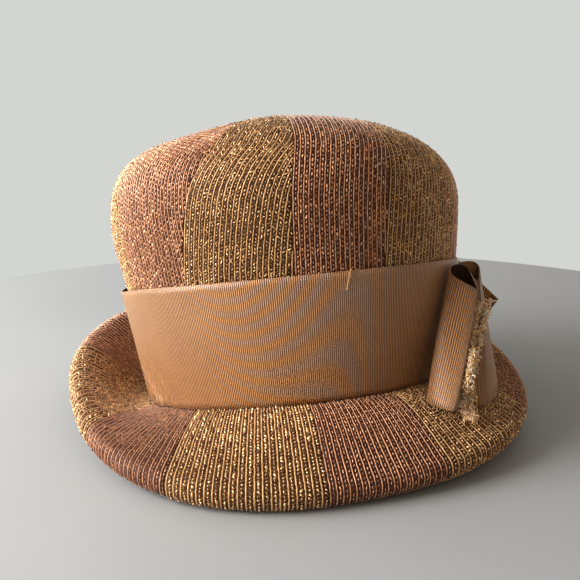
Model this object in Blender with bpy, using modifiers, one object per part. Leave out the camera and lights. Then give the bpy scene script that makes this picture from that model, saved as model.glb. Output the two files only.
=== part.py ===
"""Cloche hat of knitted straw: twelve panels in the crown, twelve in the brim, a ribbon band and a bow.

Metres, +Z up. The hat rests by itself on the plane z = 0, on the front of its brim and the back of
its head line, and leans back a little. The origin is on that plane, under the middle of the head
opening. The front of the hat faces -Y and the bow is on its +X side.
An angle round the hat is 0 at the front, 90 at the +X side, 180 at the back and -90 at the -X side.
"""
import math

import bpy
import bmesh
from mathutils import Vector

# Head opening, where crown and brim meet
HEAD_HALF_WIDTH = 0.0885
HEAD_HALF_DEPTH = 0.0926
HEAD_LINE_HEIGHT = 0.0125
HEAD_LINE_PITCH = 0.0218
HEAD_LINE_ROLL = 0.0082
BACK_SEAT_START = 0.75
SEAT_BLEND = 0.0040

# Crown
CROWN_HALF_WIDTH = 0.0984
CROWN_HALF_DEPTH = 0.1030
WIDEST_HEIGHT = 0.1098
WIDEST_PITCH = 0.0275
WIDEST_ROLL = 0.0064
DOME_HEIGHT = 0.0530
CROWN_LEAN = 0.0072
WALL_SWELL = 1.2
DOME_SQUARENESS = 2.72
SHOULDER_SQUARENESS = 0.45
TIP_RADIUS = 0.0035
TIP_SHIFT = 0.0080

# Brim: how far it reaches past the head line at its sides and ends, how its rounded-square
# outline is placed and turned, and how much its edge rises from the front to the back
BRIM_SIDE_REACH = 0.0410
BRIM_END_REACH = 0.0436
BRIM_SHIFT_X = -0.0050
BRIM_SHIFT_Y = -0.0028
BRIM_TURN = 17.0
BRIM_SQUARENESS = 2.43
EDGE_PITCH = 0.0150
ROLL_RADIUS = 0.0070
HEM_WIDTH = 0.0080
BRIM_FLANGE = 0.35
BRIM_SWELL = 0.40

# Straw and its seams
STRAW_WALL = 0.0020
SEAM_GAP = 0.0008
HEAD_GAP = 0.0005

# Ribbon band
BAND_WIDTH = 0.0665
BAND_WALL = 0.0010
BAND_CLEARANCE = 0.0005
BAND_LIFT = 0.0006
BAND_CORNER_STANDOFF = 0.0040
BAND_CORNER_ANGLE = -97.0
BAND_CORNER_SPREAD = 15.0

# Bow
BOW_RIBBON_WIDTH = 0.0640
BOW_WALL = 0.0010
BOW_CLEARANCE = 0.0005
LOOP_PINCH = 0.35
FRAY_WIDTH = 0.0056
FRAY_DEPTH = 0.0022
FRAY_NOTCH = 0.50

# How finely the curved pieces are faceted
PANEL_COLUMNS = 5
WALL_ROWS = 6
DOME_ROWS = 8
FLARE_ROWS = 5
ROLL_ROWS = 6
BAND_ROWS = 4
LOOP_SIDES = 20
LOOP_ROWS = 4
LOOP_STEP = math.pi / LOOP_SIDES
LONG_FRAY_LOCKS = 12
SHORT_FRAY_LOCKS = 6

# Where the roll of the brim's edge ends, in degrees below its outermost line
ROLL_END = -100.0

# The twelve seams, in degrees round the hat: at the crown's foot, at its shoulder and at its tip,
# and at the brim's edge
SEAM_COLUMNS = ("foot", "shoulder", "tip", "edge")
SEAMS = (
    (-92.0, -92.0, -76.0, -98.5),
    (-60.0, -62.0, -47.0, -56.0),
    (-36.0, -21.0, -17.0, -26.0),
    (1.0, 3.5, 1.0, 8.0),
    (28.0, 33.0, 46.0, 33.5),
    (63.0, 66.0, 74.0, 65.0),
    (88.0, 90.0, 100.0, 90.0),
    (121.0, 121.0, 128.0, 121.5),
    (147.0, 147.0, 153.0, 147.0),
    (181.0, 181.0, 184.0, 180.0),
    (207.5, 208.0, 212.0, 205.0),
    (241.5, 241.0, 243.0, 236.0),
)
SHOULDER_SHARE = 0.60

# The loops of the bow, each by its lower and its upper rim: the angle round the band of the rim's
# root, how far from straight out it points, its reach, thickness, distance off the band and height
# above the head line as shares of the bow ribbon's width, and how steeply it falls outwards
LOOP_COLUMNS = ("root", "heading", "reach", "thickness", "standoff", "rise", "droop")
FRONT_LOOP = (
    (40.0, -54.0, 0.325, 0.23, 0.190, -0.024, 0.05),
    (59.0, -30.6, 0.247, 0.195, 0.034, 0.925, 0.68),
)
BACK_LOOP = (
    (55.0, -47.7, 0.496, 0.44, 0.092, 0.045, 0.46),
    (67.0, -34.3, 0.195, 0.21, 0.040, 0.960, 0.65),
)
TAIL_LOOP = (
    (90.5, 18.0, 0.33, 0.11, 0.000, 0.260, 0.00),
    (86.6, 2.4, 0.38, 0.115, 0.012, 0.790, 0.97),
)

# The frayed ends, from their lower to their upper end: share of the loop's height, turn round the
# loop (0 is its outer end), and distance off the loop as a share of the bow ribbon's width
FRAY_COLUMNS = ("share", "turn", "standoff")
LONG_FRAY = (
    (-0.05, -22.0, 0.155),
    (0.03, -34.0, 0.045),
    (0.15, -38.0, 0.016),
    (0.33, -40.0, 0.007),
    (0.55, -26.0, 0.007),
    (0.84, 0.0, 0.004),
)
SHORT_FRAY = (
    (0.12, 50.0, 0.000),
    (0.31, 20.0, 0.000),
    (0.47, 24.0, 0.000),
)

GOLD = ((0.52, 0.36, 0.17, 1.0), 0.45, 0.35)
COPPER = ((0.50, 0.27, 0.16, 1.0), 0.42, 0.35)
RIBBON = ((0.60, 0.34, 0.19, 1.0), 0.60, 0.0)
FRAY = ((0.72, 0.52, 0.30, 1.0), 0.40, 0.5)


def clear_scene():
    for item in list(bpy.data.objects):
        bpy.data.objects.remove(item, do_unlink=True)


def make_material(name, finish):
    colour, roughness, metallic = finish
    material = bpy.data.materials.new(name)
    material.use_nodes = True
    shader = material.node_tree.nodes["Principled BSDF"]
    shader.inputs["Base Color"].default_value = colour
    shader.inputs["Roughness"].default_value = roughness
    shader.inputs["Metallic"].default_value = metallic
    return material


def mix(start, end, share):
    return start + (end - start) * share


def smooth(share):
    share = min(max(share, 0.0), 1.0)
    return share * share * (3.0 - 2.0 * share)


def head_ring(angle):
    """A point of the head line, in plan, on the crown's outer face."""
    return (HEAD_HALF_WIDTH * math.sin(angle), -HEAD_HALF_DEPTH * math.cos(angle))


def head_height(angle):
    """The head line leans back with the hat, and its back lies flat on the ground."""
    leaning = HEAD_LINE_HEIGHT + HEAD_LINE_PITCH * math.cos(angle) + HEAD_LINE_ROLL * math.sin(angle)
    near = max(SEAT_BLEND - abs(leaning - STRAW_WALL), 0.0)
    leaning = max(leaning, STRAW_WALL) + near ** 2 / (4.0 * SEAT_BLEND)
    seated = smooth(-math.cos(angle) / BACK_SEAT_START)
    return mix(leaning, STRAW_WALL, seated)


def edge_ring(angle, inset=0.0):
    """A point of the brim's outermost line, in plan, drawn in by inset."""
    half_width = HEAD_HALF_WIDTH + BRIM_SIDE_REACH - inset
    half_depth = HEAD_HALF_DEPTH + BRIM_END_REACH - inset
    turned = angle - math.radians(BRIM_TURN)
    across = abs(math.sin(turned) / half_width) ** BRIM_SQUARENESS
    along = abs(math.cos(turned) / half_depth) ** BRIM_SQUARENESS
    radius = (across + along) ** (-1.0 / BRIM_SQUARENESS)
    return (BRIM_SHIFT_X + radius * math.sin(angle), BRIM_SHIFT_Y - radius * math.cos(angle))


def edge_height(angle):
    """The edge is low in front, where it touches the ground, and turned up behind."""
    return ROLL_RADIUS + EDGE_PITCH * (1.0 - math.cos(angle))


def crown_wall(angle, share):
    """Outer face of the crown's side, from the head line (0) to its widest ring (1)."""
    swell = 1.0 - (1.0 - share) ** WALL_SWELL
    foot_x, foot_y = head_ring(angle)
    wide_x = CROWN_HALF_WIDTH * math.sin(angle)
    wide_y = -CROWN_HALF_DEPTH * math.cos(angle)
    x = mix(foot_x, wide_x, swell) - CROWN_LEAN * share
    y = mix(foot_y, wide_y, swell)
    z = mix(head_height(angle), widest_height(angle, 1.0), share)
    return Vector((x, y, z))


def widest_height(angle, girth):
    return WIDEST_HEIGHT + (WIDEST_PITCH * math.cos(angle) + WIDEST_ROLL * math.sin(angle)) * girth


def crown_dome(angle, turn):
    """Outer face of the crown's top, from its widest ring (0) to the tip (90 degrees)."""
    squareness = DOME_SQUARENESS - SHOULDER_SQUARENESS * math.sin(angle)
    girth = max(math.cos(turn), 0.0) ** (2.0 / squareness)
    rise = math.sin(turn) ** (2.0 / squareness)
    x = CROWN_HALF_WIDTH * girth * math.sin(angle) - CROWN_LEAN - TIP_SHIFT * (1.0 - girth) ** 2
    y = -CROWN_HALF_DEPTH * girth * math.cos(angle)
    return Vector((x, y, widest_height(angle, girth) + DOME_HEIGHT * rise))


def last_dome_turn(angle):
    """The turn at which the dome has narrowed to the small hole at the tip."""
    squareness = DOME_SQUARENESS - SHOULDER_SQUARENESS * math.sin(angle)
    return math.acos((TIP_RADIUS / CROWN_HALF_WIDTH) ** (squareness / 2.0))


def crown_point(angle, row):
    if row <= WALL_ROWS:
        share = row / WALL_ROWS
        point = crown_wall(angle, share)
        point.z += HEAD_GAP * (1.0 - share)
        return point
    share = (row - WALL_ROWS) / DOME_ROWS
    return crown_dome(angle, last_dome_turn(angle) * share)


def brim_slope(foot_angle, edge_angle):
    """Run, rise and slope of the brim from its flat ledge to the middle of its edge roll."""
    foot = Vector(head_ring(foot_angle))
    core = Vector(edge_ring(edge_angle, ROLL_RADIUS))
    run = (core - foot).length
    rise = edge_height(edge_angle) - head_height(foot_angle)
    return run, rise, math.atan2(rise, run)


def brim_point(foot_angle, edge_angle, row):
    """Upper face of the brim: a ledge under the crown, the flare, the edge roll and its hem."""
    foot = Vector(head_ring(foot_angle))
    core = Vector(edge_ring(edge_angle, ROLL_RADIUS))
    outward = (core - foot).normalized()
    run, rise, slope = brim_slope(foot_angle, edge_angle)
    base = head_height(foot_angle)
    ledge = BAND_WALL + 2.0 * BAND_CLEARANCE
    if row == 0:
        place = foot - outward * STRAW_WALL
        return Vector((place.x, place.y, base))
    start_turn = math.pi / 2.0 + slope
    if row <= FLARE_ROWS + 1:
        share = (row - 1) / FLARE_ROWS
        end_out = run + ROLL_RADIUS * math.cos(start_turn)
        end_up = rise + ROLL_RADIUS * math.sin(start_turn)
        handle = (end_out - ledge) * BRIM_SWELL
        flange = (end_out - ledge) * BRIM_FLANGE
        knots_out = (ledge, ledge + flange, end_out - handle * math.cos(slope), end_out)
        knots_up = (0.0, 0.0, end_up - handle * math.sin(slope), end_up)
        out = bezier(knots_out, share)
        up = bezier(knots_up, share)
    elif row <= FLARE_ROWS + 1 + ROLL_ROWS:
        share = (row - 1 - FLARE_ROWS) / ROLL_ROWS
        turn = mix(start_turn, math.radians(ROLL_END), share)
        out = run + ROLL_RADIUS * math.cos(turn)
        up = rise + ROLL_RADIUS * math.sin(turn)
    else:
        turn = math.radians(ROLL_END)
        out = run + ROLL_RADIUS * math.cos(turn) + HEM_WIDTH * math.sin(turn)
        up = rise + ROLL_RADIUS * math.sin(turn) - HEM_WIDTH * math.cos(turn)
    place = foot + outward * out
    return Vector((place.x, place.y, base + up))


def bezier(knots, share):
    left = 1.0 - share
    first, second, third, fourth = knots
    near = first * left ** 3 + 3.0 * second * left ** 2 * share
    return near + 3.0 * third * left * share ** 2 + fourth * share ** 3


def band_normal(angle):
    normal = Vector((math.sin(angle) / CROWN_HALF_WIDTH, -math.cos(angle) / CROWN_HALF_DEPTH, 0.0))
    return normal.normalized()


def corner_standoff(angle, share):
    """The ribbon's upper edge stands off the crown at the left."""
    away = math.remainder(math.degrees(angle) - BAND_CORNER_ANGLE, 360.0) / BAND_CORNER_SPREAD
    return BAND_CORNER_STANDOFF * share ** 2 * math.exp(-away * away)


def band_point(angle, share):
    """Inner face of the ribbon band, from its lower edge (0) to its upper edge (1)."""
    wall_height = crown_wall(angle, 1.0).z - crown_wall(angle, 0.0).z
    height = BAND_LIFT + HEAD_GAP + BAND_WIDTH * share
    point = crown_wall(angle, height / wall_height)
    return point + band_normal(angle) * (BAND_CLEARANCE + corner_standoff(angle, share))


def sheet_object(name, grid, wall, closed, material, collection):
    """An open sheet of quads through a grid of points, thickened inwards by its wall."""
    mesh = bpy.data.meshes.new(name)
    sheet = bmesh.new()
    rows = [[sheet.verts.new(point) for point in row] for row in grid]
    for lower, upper in zip(rows, rows[1:]):
        count = len(lower)
        steps = count if closed else count - 1
        for step in range(steps):
            following = (step + 1) % count
            corners = (lower[step], lower[following], upper[following], upper[step])
            sheet.faces.new(corners)
    sheet.to_mesh(mesh)
    sheet.free()
    piece = bpy.data.objects.new(name, mesh)
    collection.objects.link(piece)
    mesh.materials.append(material)
    mesh.shade_smooth()
    thick = piece.modifiers.new("wall", "SOLIDIFY")
    thick.thickness = wall
    thick.offset = -1.0
    thick.use_even_offset = True
    return piece


def panel_angles(first, last, radius):
    """Column angles of one panel, between two seams and clear of both."""
    clear = SEAM_GAP / 2.0 / radius
    start = math.radians(first) + clear
    end = math.radians(last) - clear
    return [mix(start, end, step / PANEL_COLUMNS) for step in range(PANEL_COLUMNS + 1)]


def seam_pair(index, column):
    """Angles of the two seams of a panel, in one of the seam table's columns."""
    first = SEAMS[index][SEAM_COLUMNS.index(column)]
    last = SEAMS[(index + 1) % len(SEAMS)][SEAM_COLUMNS.index(column)]
    if last <= first:
        last += 360.0
    return first, last


def crown_seam_pair(index, share):
    """Angles of the two seams of a crown panel at a share of the way from its foot to the tip."""
    feet = seam_pair(index, "foot")
    shoulders = seam_pair(index, "shoulder")
    tips = seam_pair(index, "tip")
    if share < SHOULDER_SHARE:
        way = (share / SHOULDER_SHARE) ** 2
        return [mix(foot, shoulder, way) for foot, shoulder in zip(feet, shoulders)]
    way = smooth((share - SHOULDER_SHARE) / (1.0 - SHOULDER_SHARE))
    return [mix(shoulder, tip, way) for shoulder, tip in zip(shoulders, tips)]


def crown_panel(index, materials, collection):
    rows = WALL_ROWS + DOME_ROWS
    grid = []
    for row in range(rows + 1):
        first, last = crown_seam_pair(index, row / rows)
        step = math.radians(last - first) / PANEL_COLUMNS
        middle = math.radians((first + last) / 2.0)
        radius = (crown_point(middle + step, row) - crown_point(middle - step, row)).length / 2.0 / step
        grid.append([crown_point(angle, row) for angle in panel_angles(first, last, radius)])
    name = f"crown_panel_{index + 1:02d}"
    return sheet_object(name, grid, STRAW_WALL, False, materials[index % 2], collection)


def brim_panel(index, materials, collection):
    first, last = seam_pair(index, "foot")
    edge_first, edge_last = seam_pair(index, "edge")
    foot_angles = panel_angles(first, last, HEAD_HALF_WIDTH - STRAW_WALL)
    edge_angles = panel_angles(edge_first, edge_last, HEAD_HALF_WIDTH + BRIM_SIDE_REACH)
    grid = []
    for row in range(FLARE_ROWS + ROLL_ROWS + 3):
        pairs = zip(foot_angles, edge_angles)
        grid.append([brim_point(foot, edge, row) for foot, edge in pairs])
    name = f"brim_panel_{index + 1:02d}"
    grid.reverse()
    return sheet_object(name, grid, STRAW_WALL, False, materials[index % 2], collection)


def tip_knot(material, collection):
    """The small round of drawn-together straw that closes the hole where the panels meet."""
    last_row = WALL_ROWS + DOME_ROWS
    centre = (crown_point(0.0, last_row) + crown_point(math.pi, last_row)) / 2.0
    centre.z -= STRAW_WALL / 2.0
    radius = TIP_RADIUS - SEAM_GAP
    mesh = bpy.data.meshes.new("tip_knot")
    knot = bmesh.new()
    bmesh.ops.create_cone(knot, cap_ends=True, segments=12, radius1=radius, radius2=radius,
                          depth=STRAW_WALL)
    bmesh.ops.translate(knot, verts=knot.verts, vec=centre)
    knot.to_mesh(mesh)
    knot.free()
    piece = bpy.data.objects.new("tip_knot", mesh)
    collection.objects.link(piece)
    mesh.materials.append(material)
    return piece


def hat_band(material, collection):
    angles = []
    for index in range(len(SEAMS)):
        first, last = seam_pair(index, "foot")
        angles += panel_angles(first, last, CROWN_HALF_WIDTH)
    grid = []
    for row in range(BAND_ROWS + 1):
        grid.append([band_point(angle, row / BAND_ROWS) for angle in angles])
    band = sheet_object("hat_band", grid, BAND_WALL, True, material, collection)
    band.modifiers["wall"].offset = 1.0
    return band


def loop_rim(section):
    """Centre, outward direction, half length, half thickness and fall of one rim of a loop."""
    row = dict(zip(LOOP_COLUMNS, section))
    root = math.radians(row["root"])
    heading = math.radians(row["heading"])
    half_length = BOW_RIBBON_WIDTH * row["reach"] / 2.0
    half_width = BOW_RIBBON_WIDTH * row["thickness"] / 2.0
    normal = band_normal(root)
    share = min(max(row["rise"] * BOW_RIBBON_WIDTH / BAND_WIDTH, 0.0), 1.0)
    standoff = math.hypot(half_length * math.cos(heading), half_width * math.sin(heading))
    standoff += BAND_WALL + BOW_CLEARANCE + BOW_RIBBON_WIDTH * row["standoff"]
    centre = band_point(root, share) + normal * standoff
    centre.z = head_height(root) + row["rise"] * BOW_RIBBON_WIDTH
    outward = math.atan2(normal.y, normal.x) + heading
    return centre, outward, half_length, half_width, row["droop"]


def loop_point(rims, share, turn):
    """A point of a loop's outer face, from its lower rim (0) to its upper rim (1)."""
    pairs = zip(loop_rim(rims[0]), loop_rim(rims[1]))
    centre, outward, half_length, half_width, droop = (mix(low, high, share) for low, high in pairs)
    along = half_length * math.cos(turn)
    across = half_width * math.sin(turn) * (1.0 - LOOP_PINCH * math.cos(turn))
    direction = Vector((math.cos(outward), math.sin(outward), 0.0))
    side = Vector((-math.sin(outward), math.cos(outward), 0.0))
    point = centre + direction * along + side * across
    point.z -= droop * along
    return point


def ribbon_loop(name, rims, material, collection):
    """A ribbon folded into a tube whose section changes from its lower rim to its upper."""
    grid = []
    for row in range(LOOP_ROWS + 1):
        turns = [2.0 * math.pi * step / LOOP_SIDES for step in range(LOOP_SIDES)]
        grid.append([loop_point(rims, row / LOOP_ROWS, turn) for turn in turns])
    return sheet_object(name, grid, BOW_WALL, True, material, collection)


def fray_section(rims, path, along):
    """Middle, level direction and outward direction of a frayed end, part of the way along."""
    place = along * (len(path) - 1)
    step = min(int(place), len(path) - 2)
    columns = zip(FRAY_COLUMNS, path[step], path[step + 1])
    row = {column: mix(low, high, place - step) for column, low, high in columns}
    share = row["share"]
    turn = math.radians(row["turn"])
    before = loop_point(rims, share, turn - LOOP_STEP)
    after = loop_point(rims, share, turn + LOOP_STEP)
    level = Vector((after.x - before.x, after.y - before.y, 0.0)).normalized()
    outward = Vector((level.y, -level.x, 0.0))
    standoff = BOW_CLEARANCE + BOW_RIBBON_WIDTH * row["standoff"]
    return loop_point(rims, share, turn) + outward * standoff, level, outward


def frayed_end(name, rims, path, locks, material, collection):
    """A ribbon's cut end, frayed into locks on both sides of a thin backing along a loop."""
    strip = bmesh.new()
    sections = []
    for station in range(2 * locks + 1):
        middle, level, outward = fray_section(rims, path, station / (2.0 * locks))
        size = 1.0 if station % 2 else FRAY_NOTCH
        side = level * (FRAY_WIDTH / 2.0 * size)
        rise = outward * (FRAY_DEPTH * size)
        corners = (middle - side, middle + side, middle + side + rise, middle - side + rise)
        sections.append([strip.verts.new(corner) for corner in corners])
    for lower, upper in zip(sections, sections[1:]):
        for corner in range(4):
            following = (corner + 1) % 4
            strip.faces.new((lower[corner], lower[following], upper[following], upper[corner]))
    strip.faces.new(list(reversed(sections[0])))
    strip.faces.new(sections[-1])
    bmesh.ops.recalc_face_normals(strip, faces=strip.faces)
    mesh = bpy.data.meshes.new(name)
    strip.to_mesh(mesh)
    strip.free()
    piece = bpy.data.objects.new(name, mesh)
    collection.objects.link(piece)
    mesh.materials.append(material)
    return piece


def build():
    clear_scene()
    collection = bpy.data.collections.new("cloche_hat")
    bpy.context.scene.collection.children.link(collection)
    gold = make_material("gold_straw", GOLD)
    copper = make_material("copper_straw", COPPER)
    ribbon = make_material("peach_ribbon", RIBBON)
    straws = (gold, copper)
    for index in range(len(SEAMS)):
        crown_panel(index, straws, collection)
        brim_panel(index, straws, collection)
    tip_knot(gold, collection)
    hat_band(ribbon, collection)
    ribbon_loop("bow_front_loop", FRONT_LOOP, ribbon, collection)
    ribbon_loop("bow_back_loop", BACK_LOOP, ribbon, collection)
    ribbon_loop("bow_tail_loop", TAIL_LOOP, ribbon, collection)
    fray = make_material("frayed_ribbon", FRAY)
    frayed_end("frayed_end_long", BACK_LOOP, LONG_FRAY, LONG_FRAY_LOCKS, fray, collection)
    frayed_end("frayed_end_short", FRONT_LOOP, SHORT_FRAY, SHORT_FRAY_LOCKS, fray, collection)


build()
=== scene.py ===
# %% [markdown]
# # A cloche hat of knitted straw
# The hat is sewn from twelve gores in the crown and twelve in the brim, gold and copper by turns.
# A wide ribbon goes round it, with an upright bow of the same ribbon on one side.
# The solids of the hat are already made. This lesson gives them their surface: the raised wales
# and knots of the knitting, the ribs of the ribbon, the frayed ends and the loose threads.

# %% Load the solids
import math
import random

import bmesh
import bpy
from mathutils import Matrix, Vector


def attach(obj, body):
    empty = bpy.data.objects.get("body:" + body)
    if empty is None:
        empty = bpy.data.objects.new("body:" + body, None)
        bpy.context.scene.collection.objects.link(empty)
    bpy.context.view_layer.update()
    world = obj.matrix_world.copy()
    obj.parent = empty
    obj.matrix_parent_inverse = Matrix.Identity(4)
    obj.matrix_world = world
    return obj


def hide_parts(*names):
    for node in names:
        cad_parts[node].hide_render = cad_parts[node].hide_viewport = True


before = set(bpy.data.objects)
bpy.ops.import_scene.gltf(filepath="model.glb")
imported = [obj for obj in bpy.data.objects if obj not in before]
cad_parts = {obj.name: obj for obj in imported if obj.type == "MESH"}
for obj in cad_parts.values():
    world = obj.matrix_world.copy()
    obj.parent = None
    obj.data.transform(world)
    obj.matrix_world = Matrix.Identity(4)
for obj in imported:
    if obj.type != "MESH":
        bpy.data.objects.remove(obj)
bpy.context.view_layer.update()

# %% [markdown]
# ## The rule of the shape
# A hat like this is blocked: damp straw is pulled over a wooden form, so all its gores lie on one
# smooth surface. Here that surface is a rule with a few named sizes, in metres, the same ones that
# the solids were made with. An angle round the hat is 0 at the front and 90 at the bow's side.

# %% Sizes of the crown and the brim
HEAD_HALF_WIDTH = 0.0885
HEAD_HALF_DEPTH = 0.0926
HEAD_LINE_HEIGHT = 0.0125
HEAD_LINE_PITCH = 0.0218
HEAD_LINE_ROLL = 0.0082
BACK_SEAT_START = 0.75
SEAT_BLEND = 0.0040
CROWN_HALF_WIDTH = 0.0984
CROWN_HALF_DEPTH = 0.1030
WIDEST_HEIGHT = 0.1098
WIDEST_PITCH = 0.0275
WIDEST_ROLL = 0.0064
DOME_HEIGHT = 0.0530
CROWN_LEAN = 0.0072
WALL_SWELL = 1.2
DOME_SQUARENESS = 2.72
SHOULDER_SQUARENESS = 0.45
TIP_RADIUS = 0.0035
TIP_SHIFT = 0.0080
BRIM_SIDE_REACH = 0.0410
BRIM_END_REACH = 0.0436
BRIM_SHIFT_X = -0.0050
BRIM_SHIFT_Y = -0.0028
BRIM_TURN = 17.0
BRIM_SQUARENESS = 2.43
EDGE_PITCH = 0.0150
ROLL_RADIUS = 0.0070
ROLL_END = -100.0
HEM_WIDTH = 0.0080
BRIM_FLANGE = 0.35
BRIM_SWELL = 0.40
STRAW_WALL = 0.0020
BAND_WIDTH = 0.0665
BAND_WALL = 0.0010
BAND_CLEARANCE = 0.0005
BAND_LIFT = 0.0006
HEAD_GAP = 0.0005
print("crown", round(2.0 * CROWN_HALF_WIDTH, 4), "by", round(2.0 * CROWN_HALF_DEPTH, 4))


# %% [markdown]
# ## The crown
# A crown is blocked in two parts that run into each other: a wall that widens upwards from the head
# line, and a dome over it. So a point of it comes from one angle round the hat and one way up it.
# The wall is a mix of two ovals, and the dome is a squared oval, fuller than a ball. The ribbon has
# drawn the wall in on the left, and the top has a soft dent there, as worn hats have.

# %% Points of the crown
def mix(start, end, share):
    return start + (end - start) * share


def smooth(share):
    share = min(max(share, 0.0), 1.0)
    return share * share * (3.0 - 2.0 * share)


def head_ring(angle):
    return (HEAD_HALF_WIDTH * math.sin(angle), -HEAD_HALF_DEPTH * math.cos(angle))


def head_height(angle):
    leaning = (HEAD_LINE_HEIGHT + HEAD_LINE_PITCH * math.cos(angle)
               + HEAD_LINE_ROLL * math.sin(angle))
    near = max(SEAT_BLEND - abs(leaning - STRAW_WALL), 0.0)
    leaning = max(leaning, STRAW_WALL) + near ** 2 / (4.0 * SEAT_BLEND)
    return mix(leaning, STRAW_WALL, smooth(-math.cos(angle) / BACK_SEAT_START))


def widest_height(angle, girth):
    return WIDEST_HEIGHT + (WIDEST_PITCH * math.cos(angle) + WIDEST_ROLL * math.sin(angle)) * girth


def crown_wall(angle, share):
    swell = 1.0 - (1.0 - min(share, 1.0)) ** WALL_SWELL
    foot_x, foot_y = head_ring(angle)
    x = mix(foot_x, CROWN_HALF_WIDTH * math.sin(angle), swell) - CROWN_LEAN * share
    y = mix(foot_y, -CROWN_HALF_DEPTH * math.cos(angle), swell)
    return Vector((x, y, mix(head_height(angle), widest_height(angle, 1.0), share)))


def crown_dome(angle, share):
    squareness = DOME_SQUARENESS - SHOULDER_SQUARENESS * math.sin(angle)
    last_turn = math.acos((TIP_RADIUS / CROWN_HALF_WIDTH) ** (squareness / 2.0))
    turn = last_turn * share
    girth = math.cos(turn) ** (2.0 / squareness)
    rise = math.sin(turn) ** (2.0 / squareness)
    x = CROWN_HALF_WIDTH * girth * math.sin(angle) - CROWN_LEAN - TIP_SHIFT * (1.0 - girth) ** 2
    y = -CROWN_HALF_DEPTH * girth * math.cos(angle)
    return Vector((x, y, widest_height(angle, girth) + DOME_HEIGHT * rise))


WALL_PART = 6.0 / 14.0
WAIST = (-92.0, 28.0, 0.0026)
WAIST_FADE = 0.35
DENT = (-0.056, 0.030, 0.0026)
DENT_FADE = 0.4


def bump_at(angle, centre, spread):
    away = math.remainder(math.degrees(angle) - centre, 360.0) / spread
    return math.exp(-away * away)


def band_normal(angle):
    return Vector((math.sin(angle) / CROWN_HALF_WIDTH, -math.cos(angle) / CROWN_HALF_DEPTH,
                   0.0)).normalized()


def crown_surface(angle, way):
    """The crown's outer face, from its foot (0) over its widest ring to its tip (1).

    The band draws it in a little on the left, and the top is pressed in a little there.
    """
    if way <= WALL_PART:
        share = way / WALL_PART
        centre, spread, depth = WAIST
        drawn = depth * smooth((1.0 - share) / WAIST_FADE) * bump_at(angle, centre, spread)
        point = crown_wall(angle, share) + Vector((0.0, 0.0, HEAD_GAP * (1.0 - share)))
        return point - band_normal(angle) * drawn
    share = (way - WALL_PART) / (1.0 - WALL_PART)
    point = crown_dome(angle, share)
    middle, spread, depth = DENT
    point.z -= depth * smooth(share / DENT_FADE) * math.exp(-((point.x - middle) / spread) ** 2)
    return point


print("tip of the crown", [round(value, 4) for value in crown_surface(0.0, 1.0)])


# %% [markdown]
# ## The brim
# The brim flares out from the head line and its edge is rolled under, which keeps it stiff. Seen in
# section that is a curve and most of a circle, so each point is found in its section and carried
# round the head. The front dips and the back turns up, because the head line itself is tilted.

# %% Points of the brim
def edge_ring(angle, inset):
    half_width = HEAD_HALF_WIDTH + BRIM_SIDE_REACH - inset
    half_depth = HEAD_HALF_DEPTH + BRIM_END_REACH - inset
    turned = angle - math.radians(BRIM_TURN)
    across = abs(math.sin(turned) / half_width) ** BRIM_SQUARENESS
    along = abs(math.cos(turned) / half_depth) ** BRIM_SQUARENESS
    radius = (across + along) ** (-1.0 / BRIM_SQUARENESS)
    return (BRIM_SHIFT_X + radius * math.sin(angle), BRIM_SHIFT_Y - radius * math.cos(angle))


def bezier(knots, share):
    left = 1.0 - share
    first, second, third, fourth = knots
    near = first * left ** 3 + 3.0 * second * left ** 2 * share
    return near + 3.0 * third * left * share ** 2 + fourth * share ** 3


def brim_surface(foot_angle, edge_angle, way):
    """The brim's upper face: 0 to 1 is the flare, 1 to 2 the rolled edge, 2 to 3 its hem."""
    foot = Vector(head_ring(foot_angle))
    core = Vector(edge_ring(edge_angle, ROLL_RADIUS))
    outward = (core - foot).normalized()
    run = (core - foot).length
    base = head_height(foot_angle)
    rise = ROLL_RADIUS + EDGE_PITCH * (1.0 - math.cos(edge_angle)) - base
    slope = math.atan2(rise, run)
    start_turn = math.pi / 2.0 + slope
    last_turn = math.radians(ROLL_END)
    if way < 0.0:
        place = foot - outward * STRAW_WALL
        return Vector((place.x, place.y, base))
    if way <= 1.0:
        ledge = BAND_WALL + 2.0 * BAND_CLEARANCE
        end_out = run + ROLL_RADIUS * math.cos(start_turn)
        end_up = rise + ROLL_RADIUS * math.sin(start_turn)
        handle = (end_out - ledge) * BRIM_SWELL
        flange = (end_out - ledge) * BRIM_FLANGE
        out = bezier((ledge, ledge + flange, end_out - handle * math.cos(slope), end_out), way)
        up = bezier((0.0, 0.0, end_up - handle * math.sin(slope), end_up), way)
    else:
        turn = mix(start_turn, last_turn, min(way - 1.0, 1.0))
        hem = HEM_WIDTH * max(way - 2.0, 0.0)
        out = run + ROLL_RADIUS * math.cos(turn) + hem * math.sin(turn)
        up = rise + ROLL_RADIUS * math.sin(turn) - hem * math.cos(turn)
    place = foot + outward * out
    return Vector((place.x, place.y, base + up))


front_edge = brim_surface(0.0, 0.0, 1.5)
print("front edge of the brim", [round(value, 4) for value in front_edge])

# %% [markdown]
# ## Three helpers
# The rest of the lesson makes objects and node trees, so three short functions come first. One puts
# an object into the scene, one takes the plain mesh of an object with its modifiers, and one adds a
# node with its settings and with what goes into it.

# %% Helpers
scene = bpy.context.scene


def link(name, data):
    piece = bpy.data.objects.new(name, data)
    scene.collection.objects.link(piece)
    return piece


def plain_mesh(source, keep_layers=False):
    """The mesh of an object with its modifiers. The object itself is removed."""
    graph = bpy.context.evaluated_depsgraph_get()
    mesh = bpy.data.meshes.new_from_object(source.evaluated_get(graph),
                                           preserve_all_data_layers=keep_layers, depsgraph=graph)
    bpy.data.objects.remove(source, do_unlink=True)
    return mesh


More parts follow.
